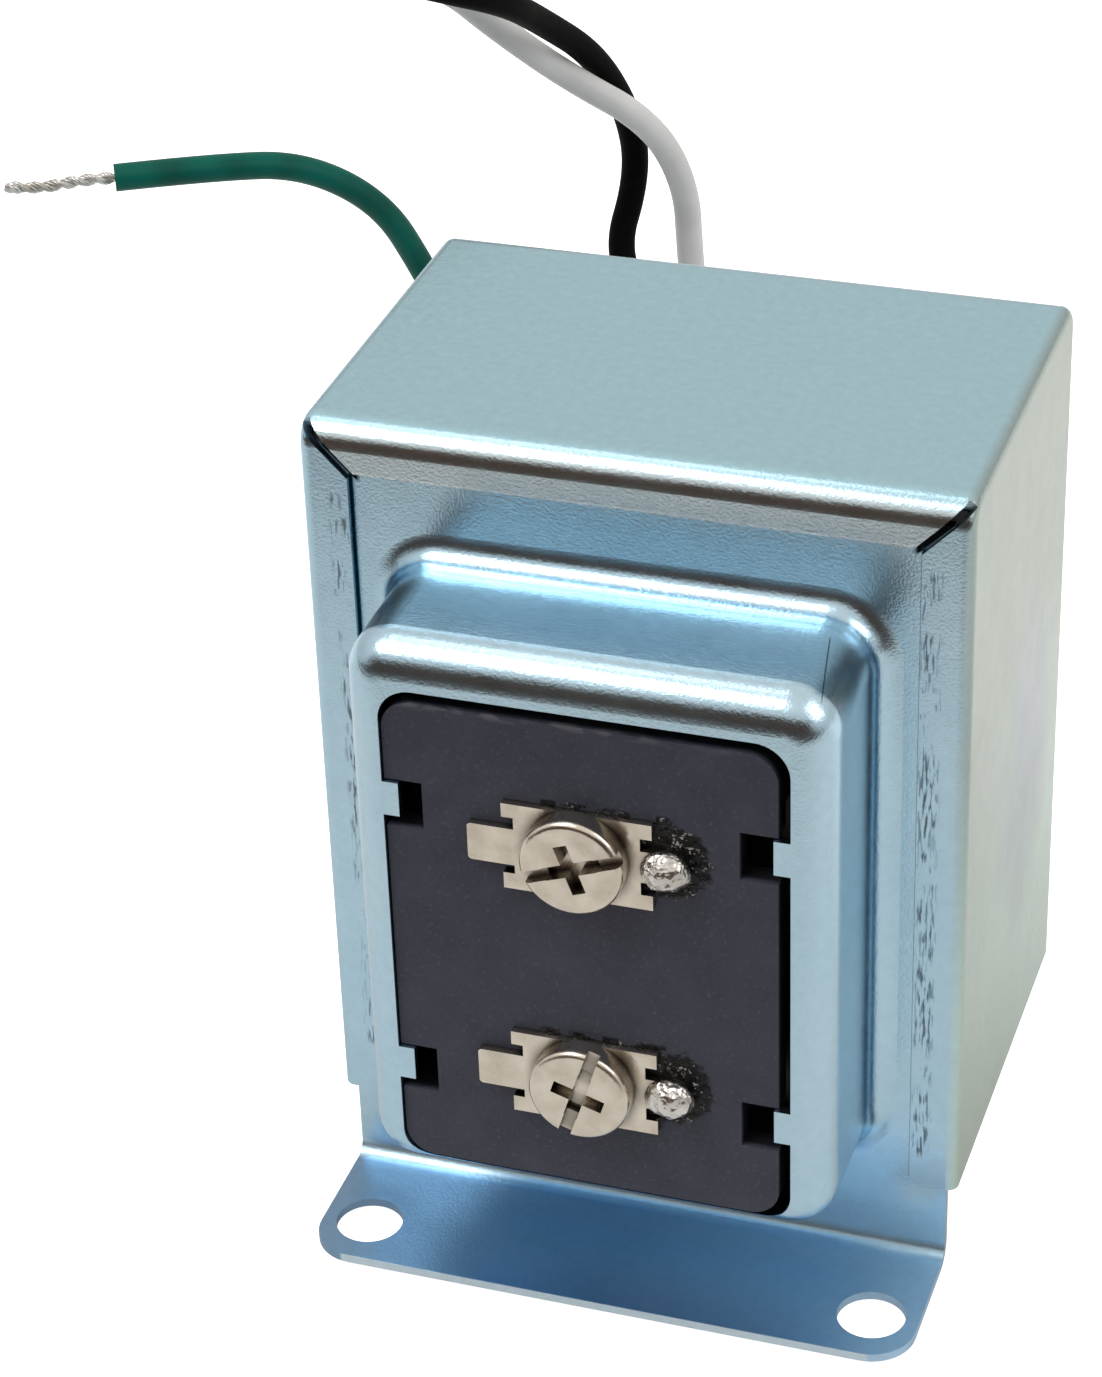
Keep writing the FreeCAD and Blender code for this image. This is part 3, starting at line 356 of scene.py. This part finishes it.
def lead(colour, route, material, metal, seed, sway):
    """A lead of NURBS with its stripped end, in place of the CAD tube and tip."""
    curve = bpy.data.curves.new(f"{colour}_insulation", "CURVE")
    curve.dimensions = "3D"
    spline = curve.splines.new("NURBS")
    spline.points.add(len(route) - 1)
    for point, (x, y, z) in zip(spline.points, route):
        point.co = (x * MM, y * MM, z * MM, 1)
    spline.order_u = 3
    spline.use_endpoint_u = True
    spline.resolution_u = 16
    curve.bevel_depth = LEAD_DIAMETER / 2
    curve.bevel_resolution = 8
    curve.use_fill_caps = True
    curve.materials.append(material)
    cord = put(f"{colour}_insulation", curve)
    end = Vector(route[-1]) * MM
    ahead = (end - Vector(route[-2]) * MM).normalized()
    tip = strand_bundle(f"{colour}_strands", end, ahead, metal, seed, sway)
    for piece, node, slot in (
        (cord, f"{colour}_lead", f"{colour}_insulation"),
        (tip, f"{colour}_lead_tip", "tinned_strand"),
    ):
        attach(piece, "root")
        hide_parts(node)


black_pvc = insulation("black_insulation", (0.0008, 0.0008, 0.0010), 0.6, (0.002, 0.002, 0.002), 0.06)
white_pvc = insulation("white_insulation", (0.68, 0.69, 0.70), 0.42, (0.57, 0.59, 0.59), 0.4)
green_pvc = insulation("green_insulation", (0.001, 0.130, 0.098), 0.42, (0.002, 0.075, 0.056), 0.16)
tinned = tinned_copper()
lead("black", BLACK_ROUTE, black_pvc, tinned, 11, 0.2)
lead("white", WHITE_ROUTE, white_pvc, tinned, 12, 0.2)
lead("green", GREEN_ROUTE, green_pvc, tinned, 13, 0.5)


# Faces and edges that the marks, painted shade and painted highlights on the case and the board follow

shroud_low, shroud_high = corners("shroud")
foot_low = corners("front_cover")[0]
board_low, board_high = corners("terminal_board")
CASE_SIDE = shroud_high.x
CASE_TOP = shroud_high.z
CASE_BOTTOM = shroud_low.z
FLANGE_FACE = shroud_low.y
SHEET = 0.8 * MM
TOP_FLANGE_EDGE = CASE_TOP - 4.4 * MM
SIDE_FLANGE_EDGE = CASE_SIDE - 4.2 * MM
# Along the mitres, the height less the distance from the middle plane is this
MITRE = CASE_TOP - CASE_SIDE - 0.2 * MM
FOOT_FRONT = foot_low.y
BOARD_FACE = board_low.y
BOARD_TOP = board_high.z
DOME_TOP = BOARD_TOP + 5.4 * MM
JOINT_SIDE = 7.0 * MM


# Materials of the metal and moulded pieces


def side_film(tree, at, z):
    """Grey-green film of the right side, deeper toward the top, with one soft lilac cloud."""
    tint = mixed(tree, rising(tree, z, 26 * MM, 52 * MM), (0.55, 0.69, 0.61), (0.36, 0.425, 0.385))
    # The cloud is taller than deep, so height counts less in the distance from its middle
    flat = 0.62
    middle = (0, 32.5 * MM, flat * 40.0 * MM)
    apart = distance(tree, scaled(tree, at, (0, 1, flat)), middle)
    waver = ranged(tree, noise_of(tree, at, 90.0), 0.3, 0.7, -2 * MM, 2 * MM)
    cloud = falling(tree, maths(tree, "ADD", apart, waver), 3 * MM, 12 * MM)
    return mixed(tree, cloud, tint, (0.375, 0.43, 0.475))


def flange_painted_shade(tree, base, aside, diagonal, y, z):
    """Paints shade into the mitres and a shadow line along the inner edges of the side flanges; gives the
    colour and the mitre shade mask.
    """
    sunk = rising(tree, y, FLANGE_FACE + 0.3 * MM, FLANGE_FACE + 0.7 * MM)
    mitre_shade = both(
        tree,
        sunk,
        falling(tree, off_from(tree, diagonal, MITRE), 0.35 * MM, 0.50 * MM),
        band(tree, z, CASE_TOP - 5.35 * MM, CASE_TOP - 0.95 * MM, 0.2 * MM),
        rising(tree, aside, CASE_SIDE - 5.15 * MM, CASE_SIDE - 4.75 * MM),
        falling(tree, y, FLANGE_FACE + 2.1 * MM, FLANGE_FACE + 2.5 * MM),
    )
    # Painted shade: the mitre slots are near black
    base = mixed(tree, mitre_shade, base, (0.01, 0.01, 0.01))
    # Painted shadow: a thin dark teal line beside the inner edge of each side flange
    edge_shadow = both(
        tree,
        falling(tree, off_from(tree, aside, SIDE_FLANGE_EDGE - 0.07 * MM), 0.10 * MM, 0.20 * MM),
        sunk,
        band(tree, z, CASE_BOTTOM + 0.1 * MM, TOP_FLANGE_EDGE - 0.25 * MM, 0.2 * MM),
    )
    return mixed(tree, edge_shadow, base, (0.02, 0.07, 0.09)), mitre_shade


def scuffs(tree, at, front, aside, z):
    """Short upright ticks in loose clusters, along the side flanges."""
    strip = both(
        tree,
        front,
        band(tree, aside, SIDE_FLANGE_EDGE + 0.15 * MM, SIDE_FLANGE_EDGE + 1.65 * MM, 0.3 * MM),
        band(tree, z, CASE_BOTTOM + 3.3 * MM, TOP_FLANGE_EDGE - 2.05 * MM, 0.5 * MM),
    )
    ticks = rising(tree, noise_of(tree, scaled(tree, at, (2.8, 1, 0.35)), 1500.0, 2.0), 0.50, 0.60)
    cluster = rising(tree, noise_of(tree, scaled(tree, at, (1, 1, 0.8)), 300.0, 2.0), 0.42, 0.52)
    return both(tree, strip, ticks, cluster)


def dome_scratch(tree, x, y, z):
    """One fine scratch across the dome's top wall, a little aslant."""
    bent = maths(tree, "ADD", x, maths(tree, "MULTIPLY", y, 0.18))
    return both(
        tree,
        band(tree, bent, 18.52 * MM, 18.62 * MM, 0.04 * MM),
        rising(tree, z, DOME_TOP - 1.2 * MM, DOME_TOP - 0.8 * MM),
        band(tree, y, -3.0 * MM, 5.6 * MM, 0.3 * MM),
        falling(tree, z, DOME_TOP + 0.7 * MM, DOME_TOP + 1.2 * MM),
    )


def zinc_sheet():
    """Bright zinc on rolled steel, with a pale blue passivate, the marks of making and handling, and
    painted shade, reflections and highlights on the flanges and the foot.
    """
    material, tree, shader = new_material("zinc_sheet")
    at = place(tree)
    x, y, z = separated(tree, at)
    aside = maths(tree, "ABSOLUTE", x)
    diagonal = maths(tree, "SUBTRACT", z, aside)
    cloud = rising(tree, noise_of(tree, at, 38.0), 0.3, 0.7)
    base = mixed(tree, cloud, (0.48, 0.70, 0.85), (0.55, 0.75, 0.88))
    # The top face is a little greyer, and the right side has its film
    above = rising(tree, z, CASE_TOP - 0.75 * MM, CASE_TOP - 0.15 * MM)
    base = mixed(tree, above, base, (0.45, 0.69, 0.80))
    side = rising(tree, x, CASE_SIDE - 1.15 * MM, CASE_SIDE + 0.05 * MM)
    base = mixed(tree, side, base, side_film(tree, at, z))
    # The foot is a deeper blue, paler toward its right end: a painted reflection of the cover above it
    low = falling(tree, z, 2 * SHEET, 3.0 * MM)
    ahead = falling(tree, y, FLANGE_FACE - 0.7 * MM, FLANGE_FACE + 0.3 * MM)
    foot_reflection = mixed(tree, rising(tree, x, 0.0, 26 * MM), (0.24, 0.38, 0.55), (0.50, 0.70, 0.90))
    base = mixed(tree, both(tree, low, ahead), base, foot_reflection)
    # Top flange: a painted reflection, greyer than the plate behind it, with a painted highlight along its
    # sheared lower edge
    front = falling(tree, y, FLANGE_FACE + 0.4 * MM, FLANGE_FACE + 0.6 * MM)
    over = rising(tree, diagonal, MITRE - 0.1 * MM, MITRE + 0.1 * MM)
    from_edge = rising(tree, z, TOP_FLANGE_EDGE - 0.05 * MM, TOP_FLANGE_EDGE + 0.01 * MM)
    top_flange_reflection = both(tree, front, over, from_edge)
    base = mixed(tree, top_flange_reflection, base, (0.64, 0.77, 0.83))
    # Painted highlight: a pale ragged line along the flange's lower edge
    sheared_highlight = falling(tree, z, TOP_FLANGE_EDGE + 0.19 * MM, TOP_FLANGE_EDGE + 0.27 * MM)
    ragged = ranged(tree, noise_of(tree, at, 1500.0), 0.40, 0.55, 0.25, 1.0)
    base = mixed(tree, both(tree, top_flange_reflection, sheared_highlight, ragged), base, (0.80, 0.90, 0.97))
    base, mitre_shade = flange_painted_shade(tree, base, aside, diagonal, y, z)
    scuff = scuffs(tree, at, front, aside, z)
    base = mixed(tree, scuff, base, (0.24, 0.32, 0.38))
    base = mixed(tree, dome_scratch(tree, x, y, z), base, (0.10, 0.14, 0.17))
    # The sheared front edge of the foot is bare and paler
    lip = falling(tree, y, FOOT_FRONT + 0.04 * MM, FOOT_FRONT + 0.10 * MM)
    base = mixed(tree, lip, base, (0.66, 0.79, 0.88))
    cloudy = ranged(tree, noise_of(tree, at, 1100.0, 5.0, 0.7), 0.3, 0.7, 0.93, 1.03)
    base = mixed(tree, 1.0, base, cloudy, "MULTIPLY")
    # Scuffs and the painted mitre shade are dull, and the foot is more satin than the case
    rough = ranged(tree, noise_of(tree, at, 300.0, 4.0), 0.3, 0.7, 0.19, 0.24)
    rough = maths(tree, "ADD", rough, maths(tree, "MULTIPLY", maths(tree, "ADD", mitre_shade, scuff), 0.4))
    rough = maths(tree, "ADD", rough, ranged(tree, z, 3.5 * MM, 6.0 * MM, 0.14, 0.0))
    normal = bump(tree, noise_of(tree, at, 3800.0, 2.0, 0.6), 0.40, 0.06 * MM)
    normal = bump(tree, maths(tree, "SUBTRACT", 1.0, scuff), 0.5, 0.06 * MM, normal)
    surface(tree, shader, base, rough, normal)
    shader.inputs["Metallic"].default_value = 1.0
    return material


def plain_metal(name, colour, wear_and_highlight, roughness, grain_scale):
    """Plated metal whose colour and gloss vary in patches, with painted shade in its corners."""
    material, tree, shader = new_material(name)
    at = place(tree)
    patch = rising(tree, noise_of(tree, at, 420.0, 4.0), 0.35, 0.7)
    open_sky = add(tree, "AmbientOcclusion", {"Distance": 1.1 * MM}, samples=6).outputs["AO"]
    # Painted shade: brown darkening where ambient occlusion finds the surface enclosed
    corner_shade = falling(tree, open_sky, 0.35, 0.95)
    base = mixed(tree, corner_shade, mixed(tree, patch, colour, wear_and_highlight), (0.035, 0.028, 0.022))
    rough = ranged(tree, patch, 0, 1, roughness, roughness + 0.14)
    surface(tree, shader, base, rough, bump(tree, noise_of(tree, at, grain_scale), 0.3, 0.05 * MM))
    shader.inputs["Metallic"].default_value = 1.0
    return material


def moulded(name, colour, pale, roughness):
    """Moulded plastic with a fine texture and slight mottling."""
    material, tree, shader = new_material(name)
    at = place(tree)
    mottle = rising(tree, noise_of(tree, at, 260.0, 5.0), 0.35, 0.75)
    rough = ranged(tree, mottle, 0, 1, roughness, roughness + 0.1)
    texture = bump(tree, noise_of(tree, at, 1500.0), 0.3, 0.05 * MM)
    surface(tree, shader, mixed(tree, mottle, colour, pale), rough, texture)
    shader.inputs["Specular IOR Level"].default_value = 0.45
    return material


def flux_and_edge_shade(tree, at, x, z):
    """Ragged rings of burnt flux round the solder joints, and a broken line of painted shade along each
    terminal plate's upper edge.
    """
    distort = maths(tree, "MULTIPLY", noise_of(tree, at, 900.0, 4.0), 2.2 * MM)
    flux_and_shade = 0.0
    for name in ("upper_terminal", "lower_terminal"):
        low, high = corners(name)
        height = (low.z + high.z) / 2
        apart = distance(tree, at, (JOINT_SIDE, BOARD_FACE, height + 0.4 * MM))
        ring = falling(tree, maths(tree, "ADD", apart, distort), 4.4 * MM, 4.8 * MM)
        # Painted shade: a broken dark line along the plate's upper edge
        line = both(
            tree,
            band(tree, z, high.z - 0.4 * MM, high.z + 0.5 * MM, 0.2 * MM),
            band(tree, x, -4.5 * MM, 8.0 * MM, 0.5 * MM),
            rising(tree, noise_of(tree, at, 700.0, 4.0), 0.46, 0.52),
        )
        flux_and_shade = maths(tree, "MAXIMUM", flux_and_shade, maths(tree, "MAXIMUM", ring, line))
    return flux_and_shade


def board_plastic():
    """Dark moulded board: fine pale specks, a painted highlight along the top edge, painted shade in the
    notches, and burnt flux round the joints with painted shade along the terminal plates' upper edges.
    """
    material, tree, shader = new_material("board")
    at = place(tree)
    x, y, z = separated(tree, at)
    mottle = rising(tree, noise_of(tree, at, 260.0, 5.0), 0.35, 0.75)
    base = mixed(tree, mottle, (0.046, 0.051, 0.076), (0.060, 0.065, 0.093))
    specks = ranged(tree, noise_of(tree, at, 2600.0, 2.0, 0.7), 0.56, 0.74, 0.0, 0.5)
    base = mixed(tree, specks, base, (0.11, 0.11, 0.13))
    # Painted highlight: a broken pale line along the board's top edge
    wear_and_highlight = noise_of(tree, scaled(tree, at, (0.35, 1, 1)), 1300.0, 4.0)
    top_edge_highlight = both(
        tree,
        rising(tree, z, BOARD_TOP - 0.7 * MM, BOARD_TOP - 0.1 * MM),
        ranged(tree, x, -6 * MM, 10 * MM, 1.0, 0.35),
        ranged(tree, wear_and_highlight, 0.47, 0.60, 0.0, 0.8),
    )
    base = mixed(tree, top_edge_highlight, base, (0.15, 0.155, 0.18))
    # Painted shade: the notch walls behind the board's face go near black
    notch_shade = ranged(tree, y, BOARD_FACE + 0.2 * MM, BOARD_FACE + 0.7 * MM, 0.0, 0.85)
    base = mixed(tree, notch_shade, base, (0.004, 0.004, 0.005))
    flux_and_shade = flux_and_edge_shade(tree, at, x, z)
    # Burnt flux, and painted shade along the plates' upper edges, near black
    base = mixed(tree, flux_and_shade, base, (0.006, 0.006, 0.007))
    spatter = rising(tree, noise_of(tree, at, 1900.0, 3.0, 0.7), 0.60, 0.66)
    base = mixed(tree, both(tree, flux_and_shade, spatter), base, (0.42, 0.42, 0.41))
    rough = ranged(tree, mottle, 0, 1, 0.46, 0.56)
    rough = maths(tree, "SUBTRACT", rough, maths(tree, "MULTIPLY", flux_and_shade, 0.25))
    normal = bump(tree, noise_of(tree, at, 1500.0), 0.3, 0.05 * MM)
    clot = both(tree, flux_and_shade, noise_of(tree, at, 1400.0, 4.0))
    surface(tree, shader, base, rough, bump(tree, clot, 0.9, 0.3 * MM, normal))
    shader.inputs["Specular IOR Level"].default_value = 0.22
    return material


def layered(name, colour, dark, metallic, axis, pitch, roughness):
    """Thin layers stacked along one axis: lamination edges, or turns of wire."""
    material, tree, shader = new_material(name)
    at = place(tree)
    phase = maths(tree, "MULTIPLY", separated(tree, at)[axis], 2 * math.pi / pitch)
    ridge = maths(tree, "ABSOLUTE", maths(tree, "SINE", phase))
    uneven = noise_of(tree, at, 600.0)
    groove = ranged(tree, ridge, 0, 0.5, 1, 0)
    shade = both(tree, groove, ranged(tree, uneven, 0.3, 0.7, 0.6, 1))
    rough = ranged(tree, uneven, 0.3, 0.7, roughness, roughness + 0.15)
    surface(tree, shader, mixed(tree, shade, colour, dark), rough, bump(tree, ridge, 0.5, pitch * 0.2))
    shader.inputs["Metallic"].default_value = metallic
    return material


X_AXIS = 0
Y_AXIS = 1
LOOKS = {
    "zinc_sheet": zinc_sheet(),
    "core_steel": layered("core_steel", (0.16, 0.15, 0.15), (0.04, 0.04, 0.04), 0.6, Y_AXIS, 0.7 * MM, 0.5),
    "bobbin_nylon": moulded("bobbin_nylon", (0.010, 0.010, 0.010), (0.016, 0.016, 0.016), 0.5),
    "magnet_wire": layered(
        "magnet_wire", (0.45, 0.17, 0.07), (0.12, 0.04, 0.02), 0.8, X_AXIS, 1.1 * MM, 0.3
    ),
    "coil_tape": moulded("coil_tape", (0.014, 0.013, 0.012), (0.022, 0.020, 0.018), 0.4),
    "cutoff_body": moulded("cutoff_body", (0.45, 0.43, 0.38), (0.52, 0.50, 0.44), 0.5),
    "board": board_plastic(),
    "nickel": plain_metal("nickel", (0.80, 0.75, 0.66), (0.64, 0.58, 0.49), 0.17, 3000.0),
    "hub_steel": plain_metal("hub_steel", (0.60, 0.66, 0.69), (0.52, 0.56, 0.58), 0.26, 2200.0),
    "bush_plastic": moulded("bush_plastic", (0.012, 0.012, 0.013), (0.020, 0.020, 0.021), 0.4),
    "black_insulation": black_pvc,
    "white_insulation": white_pvc,
    "green_insulation": green_pvc,
    "tinned_strand": tinned,
    "sleeve_plastic": moulded("sleeve_plastic", (0.62, 0.62, 0.56), (0.68, 0.68, 0.62), 0.4),
    "solder": plain_metal("solder", (0.80, 0.79, 0.76), (0.50, 0.48, 0.44), 0.20, 1500.0),
}
for sub in frame["record"]["subparts"]:
    node = nodes[sub["node"]]
    look = LOOKS[sub["material_slot"]]
    for i in range(len(node.material_slots)):
        node.material_slots[i].material = look

# Solder is lumpy
lumps = bpy.data.textures.new("lumps", "CLOUDS")
lumps.noise_scale = 1.1 * MM
lumps.noise_depth = 2
for name in ("upper_solder_joint", "lower_solder_joint"):
    finer = nodes[name].modifiers.new("finer", "SUBSURF")
    finer.subdivision_type = "SIMPLE"
    finer.levels = 2
    finer.render_levels = 2
    lumpy = nodes[name].modifiers.new("lumpy", "DISPLACE")
    lumpy.texture = lumps
    lumpy.texture_coords = "LOCAL"
    lumpy.strength = 0.45 * MM
    lumpy.mid_level = 0.55


# Floor, backdrop light and lamps

SKY_LOW = (0.60, 0.58, 0.56)
SKY_HIGH = (0.84, 0.79, 0.74)
SKY_DARK = (0.075, 0.045, 0.033)
# Round soft boxes in the sky: direction, degrees to the full light and to its end, colour
SOFT_BOXES = (
    ((-0.28, 0.116, 0.952), 2, 9, (2.6, 2.6, 2.6)),
    ((-0.28, -0.523, 0.804), 2, 8, (3.0, 3.0, 3.0)),
)
FLOOR_SIZE = 4.0
FLOOR_DROP = 0.4 * MM
FLOOR_PALE = (0.63, 0.63, 0.62)
FLOOR_DARK = (0.055, 0.036, 0.028)
# Name, place, width and watts of each lamp
LAMPS = (
    ("key_light", (-0.35, -0.30, 0.75), 0.35, 2.2),
    ("fill_light", (0.60, -0.10, 0.55), 0.45, 1.2),
)
LAMP_TARGET = Vector((0, 0.02, 0.04))


def sky_colour(tree, way):
    """Soft room: warm overhead, dark near the horizon on the camera's side, with two soft boxes."""
    _, y, height = separated(tree, way)
    sky = mixed(tree, rising(tree, height, 0.0, 0.8), SKY_LOW, SKY_HIGH)
    low = falling(tree, height, 0.38, 0.50)
    facing = falling(tree, y, -0.75, -0.45)
    sky = mixed(tree, both(tree, low, facing), sky, SKY_DARK)
    for direction, inner, outer, colour in SOFT_BOXES:
        aim = Vector(direction).normalized()
        near = add(tree, "VectorMath", {0: way, 1: tuple(aim)}, operation="DOT_PRODUCT")
        inputs = {
            "Value": near.outputs["Value"],
            "From Min": math.cos(math.radians(outer)),
            "From Max": math.cos(math.radians(inner)),
        }
        box = add(tree, "MapRange", inputs, interpolation_type="SMOOTHSTEP").outputs[0]
        sky = mixed(tree, box, sky, colour)
    return sky


def floor_material():
    """Pale floor that darkens ahead of the object, where only the case's bends mirror it."""
    material, tree, shader = new_material("floor")
    deep = separated(tree, place(tree))[1]
    pale = rising(tree, deep, -0.165, -0.105)
    tree.links.new(mixed(tree, pale, FLOOR_DARK, FLOOR_PALE), shader.inputs["Base Color"])
    shader.inputs["Roughness"].default_value = 0.9
    shader.inputs["Specular IOR Level"].default_value = 0.1
    # Seen straight on the floor is white; in the zinc it is grey, dark ahead and pale behind
    direct = add(tree, "LightPath").outputs["Is Camera Ray"]
    under = ranged(tree, deep, -0.08, -0.02, 0.0, 0.07)
    behind = ranged(tree, deep, 0.02, 0.09, 0.0, 0.24)
    mirrored = maths(tree, "ADD", under, behind)
    glow = add(tree, "MapRange", {"Value": direct, "To Min": mirrored, "To Max": 1.0}).outputs[0]
    tree.links.new(glow, shader.inputs["Emission Strength"])
    shader.inputs["Emission Color"].default_value = (1, 1, 1, 1)
    return material


def studio():
    """White floor, a soft room as the sky, and two lamps."""
    floor_mesh = bpy.data.meshes.new("floor")
    build = bmesh.new()
    bmesh.ops.create_grid(build, x_segments=1, y_segments=1, size=FLOOR_SIZE)
    build.to_mesh(floor_mesh)
    build.free()
    floor = put("floor", floor_mesh)
    floor.location.z = -FLOOR_DROP
    floor.data.materials.append(floor_material())

    world = bpy.data.worlds.new("world")
    scene.world = world
    world.use_nodes = True
    tree = world.node_tree
    background = tree.nodes["Background"]
    way = add(tree, "TexCoord").outputs["Generated"]
    tree.links.new(sky_colour(tree, way), background.inputs["Color"])
    background.inputs["Strength"].default_value = 1.0

    for name, spot, size, power in LAMPS:
        lamp = bpy.data.lights.new(name, "AREA")
        lamp.size = size
        lamp.energy = power
        holder = put(name, lamp)
        holder.location = spot
        aim = LAMP_TARGET - Vector(spot)
        holder.rotation_euler = aim.to_track_quat("-Z", "Y").to_euler()


studio()
